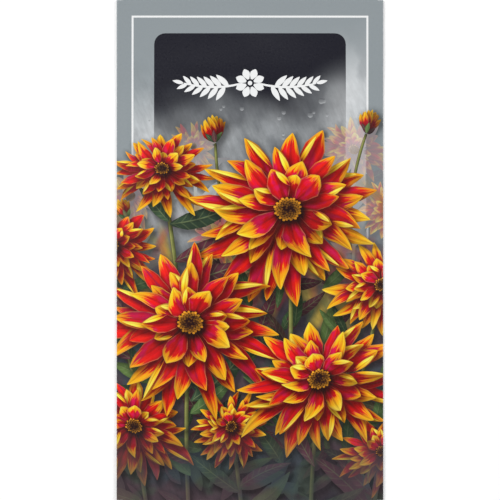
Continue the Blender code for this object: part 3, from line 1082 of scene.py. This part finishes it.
def petal_ink(node, spot):
    """Crimson to scarlet with magenta patches, fine streaks and a crease, a pale edge, and a ragged
    yellow tip. In shade the colours are deeper, so yellow turns to orange."""
    streak = streaks(node, spot, length=10.0, width=0.6, detail=4.0)
    patch = streaks(node, spot, length=9.6, width=2.5, detail=2.0)
    edge = node("Math", {0: spot.across}, operation="ABSOLUTE")
    depth = node("Math", {0: streak, 1: 0.5, 2: spot.along}, operation="MULTIPLY_ADD")
    red = node("ValToRGB", {0: depth}, stops=((0.2, linear("#5c0712")), (0.5, linear("#a60811")),
                                             (0.85, linear("#cf0a10")), (1.0, linear("#de1a0c"))))
    magenta = node("MapRange", {0: patch, "From Min": 0.48, "From Max": 0.64, "To Max": 0.9},
                   interpolation_type="SMOOTHSTEP")
    red = node("Mix", {0: magenta, "A": red, "B": linear("#c70d4b")}, data_type="RGBA")
    outer = node("Math", {0: edge, 1: 2.0}, operation="POWER")
    past = node("Math", {0: streak, 1: TIP_RAGS, 2: spot.along}, operation="MULTIPLY_ADD")
    past = node("Math", {0: outer, 1: TIP_EDGES, 2: past}, operation="MULTIPLY_ADD")
    past = node("Math", {0: past, 1: TIP_DELAY}, operation="SUBTRACT")
    past = node("Math", {0: past, 1: spot.flame}, operation="SUBTRACT")
    tip = node("MapRange", {0: past, "From Min": -0.03, "From Max": 0.05},
               interpolation_type="SMOOTHSTEP")
    yellow = node("ValToRGB", {0: past}, stops=((0.0, linear("#f27a0e")), (0.08, linear("#f99f10")),
                                                (0.24, linear("#ffc21a")), (0.46, linear("#ffdc4e"))))
    colour = node("Mix", {0: tip, "A": red, "B": yellow}, data_type="RGBA")
    rim = node("MapRange", {0: edge, "From Min": 0.84, "From Max": 1.0, "To Max": 0.5},
               interpolation_type="SMOOTHSTEP")
    colour = node("Mix", {0: rim, "A": colour, "B": linear("#f29a6e")}, data_type="RGBA")
    crease = side_to_side(node, spot, ((0.0, 0.5), (0.25, 0.92), (0.47, 0.62),
                                       (0.54, 1.0), (0.75, 1.15), (1.0, 0.7)))
    level = node("Math", {0: streak, 1: 0.5, 2: 0.75}, operation="MULTIPLY_ADD")
    level = node("Math", {0: level, 1: crease}, operation="MULTIPLY")
    depth = node("MapRange", {0: spot.light, "From Min": 0.3, "To Min": SHADE_DEPTH, "To Max": 1.0})
    colour = node("Gamma", {"Color": colour, "Gamma": depth})
    return in_haze(node, spot, lit(node, spot, colour, level))


LEAF_LENGTH = 24.0
VEIN_PITCH = 3.0
VEIN_LEAN = -0.12
LEAF_MOTTLE = 2.0
STEM_MOTTLE = 2.5


def leaf_ink(node, spot):
    """Dull green, or plum on some leaves, with a pale midrib and faint side veins that lean."""
    edge = node("Math", {0: spot.across}, operation="ABSOLUTE")
    slant = node("Math", {0: edge, 1: VEIN_LEAN, 2: spot.along}, operation="MULTIPLY_ADD")
    wave = node("Math", {0: slant, 1: math.tau * LEAF_LENGTH / VEIN_PITCH}, operation="MULTIPLY")
    wave = node("Math", {0: wave}, operation="SINE")
    vein = node("MapRange", {0: wave, "From Min": 0.7, "From Max": 1.0, "To Max": 0.2})
    rib = node("MapRange", {0: edge, "From Min": 0.03, "From Max": 0.1, "To Min": 0.55, "To Max": 0.0})
    pale = node("Math", {0: vein, 1: rib}, operation="MAXIMUM")
    green = node("ValToRGB", {0: spot.own}, stops=((0.0, linear("#323f39")), (0.35, linear("#4a6a42")),
                                                   (0.64, linear("#79984f")), (0.74, linear("#6a3442"))))
    green = node("Mix", {0: pale, "A": green, "B": linear("#a9ba80")}, data_type="RGBA")
    fold = side_to_side(node, spot, ((0.0, 0.6), (0.35, 0.85), (0.49, 0.65),
                                     (0.52, 1.0), (0.8, 1.15), (1.0, 0.8)))
    mottle = node("TexNoise", {"Vector": spot.place, "Scale": 1 / LEAF_MOTTLE, "Detail": 3.0})
    level = node("Math", {0: mottle, 1: 0.5, 2: 0.75}, operation="MULTIPLY_ADD")
    level = node("Math", {0: level, 1: fold}, operation="MULTIPLY")
    return in_haze(node, spot, lit(node, spot, green, level))


def stem_ink(node, spot):
    """Olive, rounded by shade at both sides."""
    olive = side_to_side(node, spot, ((0.0, linear("#40451f")), (0.6, linear("#8f9450")),
                                      (0.75, linear("#a9a861")), (1.0, linear("#4c4a26"))))
    mottle = node("TexNoise", {"Vector": spot.place, "Scale": 1 / STEM_MOTTLE, "Detail": 3.0})
    level = node("Math", {0: mottle, 1: 0.8, 2: 0.6}, operation="MULTIPLY_ADD")
    return in_haze(node, spot, lit(node, spot, olive, level))


INKS = {
    "bare": ("bare_clay_coated_paper", bare_paper),
    "flat": ("offset_printed_flat_tone", flat_ink),
    "picture": ("offset_printed_soft_ground", picture_ink),
    "leaf": ("offset_printed_leaf", leaf_ink),
    "stem": ("offset_printed_stem", stem_ink),
    "petal": ("offset_printed_petal", petal_ink),
}
for finish_name, paint in INKS.values():
    coated_paper(finish_name, paint)
slots = np.zeros(len(mesh.polygons), dtype=np.int32)
slots[: len(top)] = np.array([list(INKS).index(shape.ink) for shape in printed])[top]
mesh.polygons.foreach_set("material_index", slots)
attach(packet, "root")
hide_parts("paper_packet")


# The seeds
# Some seven hundred loose seeds lie in a low heap at the foot of the closed packet. Each is a lens
# with a hard, smooth, near-black coat, so each shows one small bright highlight.
SEED_WIDTH = 1.15
SEED_THICKNESS = 0.75
SEED_PITCH = 1.3
SEED_ROW_PITCH = SEED_PITCH * 0.866
SEED_ROWS = 12
SEED_COLUMNS = 20
SEED_SHIFT = 0.06
SEED_TILT = 0.12
SEED_SIZES = (0.9, 1.0)
SEED_GAPS = (0.04, 0.1)
# A layer is its share of the heap's size and how high it lies
SEED_LAYERS = ((1.0, 0.0), (0.72, 0.76), (0.42, 1.5))
heap_low, heap_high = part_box("seed_heap")
heap_x = (heap_high[0] - heap_low[0]) / MM / 2 - SEED_WIDTH / 2
heap_y = (heap_high[1] - heap_low[1]) / MM / 2 - SEED_WIDTH / 2
ball = bmesh.new()
bmesh.ops.create_icosphere(ball, subdivisions=2, radius=0.5)
ball_points = np.array([point.co[:] for point in ball.verts])
ball_faces = np.array([[corner.index for corner in face.verts] for face in ball.faces])
ball.free()
seed_draw = random.Random(11)
seed_points = []
for share, height in SEED_LAYERS:
    for row in range(-SEED_ROWS, SEED_ROWS + 1):
        for column in range(-SEED_COLUMNS, SEED_COLUMNS + 1):
            x = SEED_PITCH * (column + 0.5 * (row % 2)) + seed_draw.uniform(-SEED_SHIFT, SEED_SHIFT)
            y = SEED_ROW_PITCH * row + seed_draw.uniform(-SEED_SHIFT, SEED_SHIFT)
            if math.hypot(x / heap_x, y / heap_y) > share:
                continue
            y += HEAP_CENTRE_Y
            bed = float(back_height(y)) + PAPER / 2
            z = bed + SEED_THICKNESS / 2 + height + seed_draw.uniform(*SEED_GAPS)
            tilt = Euler((seed_draw.gauss(0, SEED_TILT), seed_draw.gauss(0, SEED_TILT),
                          seed_draw.uniform(0, math.tau)))
            size = seed_draw.uniform(*SEED_SIZES)
            lens = ball_points * (SEED_WIDTH, SEED_WIDTH, SEED_THICKNESS) * size
            seed_points.append(lens @ np.array(tilt.to_matrix()).T + (x, y, z))
seed_faces = [ball_faces + number * len(ball_points) for number in range(len(seed_points))]
seeds = add_mesh("loose_seeds", np.concatenate(seed_points), np.concatenate(seed_faces).tolist())

# The coat's pits are 0.03 mm wide. They are drawn 0.15 mm wide, so that they show close to
SEED_PIT = 0.15
COAT_IOR = 1.5
seed_coat, node = start_material("shiny_seed_coat")
own = node("NewGeometry", {}).outputs["Random Per Island"]
tone = node("ValToRGB", {0: own}, stops=((0.0, linear("#0f0c0c")), (0.75, linear("#1c1310")),
                                         (1.0, linear("#3a2217"))))
place = node("TexCoord", {}).outputs["Object"]
pits = node("TexNoise", {"Vector": place, "Scale": 1 / (SEED_PIT * MM), "Detail": 2.0})
rough = node("MapRange", {0: pits, "To Min": 0.18, "To Max": 0.34})
bump = node("Bump", {"Strength": 0.2, "Distance": 0.00002, "Height": pits})
finish = {"Base Color": tone, "Roughness": rough, "Normal": bump, "IOR": COAT_IOR}
node("OutputMaterial", {0: node("BsdfPrincipled", finish)})
seeds.data.materials.append(seed_coat)
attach(seeds, "root")
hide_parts("seed_heap")


# The studio
# A matt white floor and soft lights on all sides, so that the flat front is evenly lit, and a camera
# straight above it.
FLOOR_HALF = 1500.0
FLOOR_DROP = 0.05
FLOOR_WHITE = linear("#f9f9f9")
floor_corners = rectangle(-FLOOR_HALF, -FLOOR_HALF, FLOOR_HALF, FLOOR_HALF)
floor_points = np.array([(x, y, -FLOOR_DROP) for x, y in floor_corners])
floor = add_mesh("studio_floor", floor_points, [(0, 1, 2, 3)])
floor_paint, node = start_material("matt_white_paint")
finish = {"Base Color": FLOOR_WHITE, "Roughness": 0.9,
          "Emission Color": FLOOR_WHITE, "Emission Strength": 0.15}
node("OutputMaterial", {0: node("BsdfPrincipled", finish)})
floor.data.materials.append(floor_paint)

# A softbox is its place in metres and its power in watts
SOFTBOX = 0.6
SOFTBOXES = (
    ("left_softbox", (-0.9, 0.35, 0.9), 10.0),
    ("right_softbox", (0.9, 0.25, 0.8), 6.2),
    ("head_softbox", (0.0, 1.0, 0.9), 4.2),
    ("foot_softbox", (0.1, -1.0, 0.9), 2.0),
)
for name, place, power in SOFTBOXES:
    light_data = bpy.data.lights.new(name, "AREA")
    light_data.energy = power
    light_data.size = SOFTBOX
    light = add_object(name, light_data)
    light.location = place
    light.rotation_euler = (-Vector(place)).to_track_quat("-Z", "Y").to_euler()
world = bpy.data.worlds.new("studio_air")
world.use_nodes = True
air = world.node_tree.nodes["Background"].inputs
air["Color"].default_value = (1, 1, 1, 1)
air["Strength"].default_value = 0.12
bpy.context.scene.world = world

# The square frame takes in this much each way from the middle, so the packet fills its height
FRAME_HALF = 79.75 * MM
camera_data = bpy.data.cameras.new("camera")
camera_data.lens = 135
camera = add_object("camera", camera_data)
camera.location = (0, 0, FRAME_HALF * 2 * camera_data.lens / camera_data.sensor_width)
bpy.context.scene.camera = camera
bpy.context.scene.view_settings.view_transform = "Standard"
